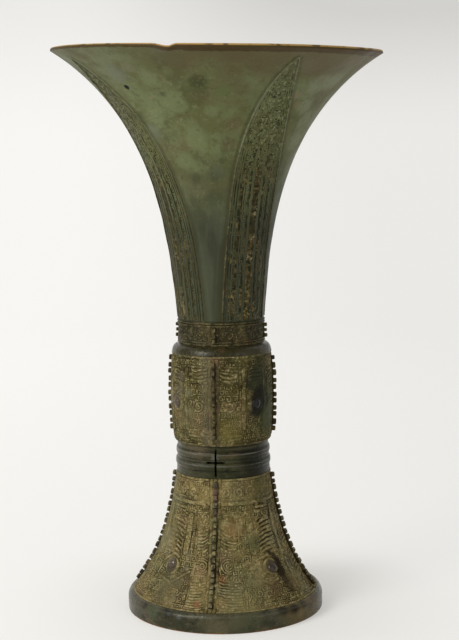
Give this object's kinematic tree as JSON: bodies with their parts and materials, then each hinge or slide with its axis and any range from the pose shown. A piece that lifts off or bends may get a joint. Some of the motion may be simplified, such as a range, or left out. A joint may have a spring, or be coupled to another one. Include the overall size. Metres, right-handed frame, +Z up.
{
  "type": "gu vase",
  "caption": "Tall bronze wine beaker with a trumpet mouth, a flanged knop and a flared hollow foot, covered in cast relief of blades and masks.",
  "frame": {"origin": "centre of the flat face that the vessel stands on, on the vessel's axis", "axes": "+Z up along the axis to the mouth, -Y towards the front flange and the front cross opening, +X to the right seen from the front"},
  "size_m": [0.1624, 0.1624, 0.28],
  "materials": {
    "green_bronze": "matt green patina with brown patches",
    "brown_bronze": "olive-brown patina with earth in the relief",
    "dark_bronze": "smooth dark patina with a satin sheen"
  },
  "bodies": {
    "root": {"trumpet": "green_bronze", "neck_band": "brown_bronze", "knop": "brown_bronze", "bowl_floor": "green_bronze", "stem": "dark_bronze", "foot": "brown_bronze", "foot_ring": "dark_bronze", "neck_flange_front": "dark_bronze", "neck_flange_right": "dark_bronze", "neck_flange_back": "dark_bronze", "neck_flange_left": "dark_bronze", "knop_flange_front": "brown_bronze", "knop_flange_right": "brown_bronze", "knop_flange_back": "brown_bronze", "knop_flange_left": "brown_bronze", "foot_flange_front": "brown_bronze", "foot_flange_right": "brown_bronze", "foot_flange_back": "brown_bronze", "foot_flange_left": "brown_bronze", "knop_eye_front_left": "dark_bronze", "knop_eye_front_right": "dark_bronze", "knop_eye_back_left": "dark_bronze", "knop_eye_back_right": "dark_bronze", "foot_eye_front_left": "dark_bronze", "foot_eye_front_right": "dark_bronze", "foot_eye_back_left": "dark_bronze", "foot_eye_back_right": "dark_bronze"}
  },
  "joints": []
}
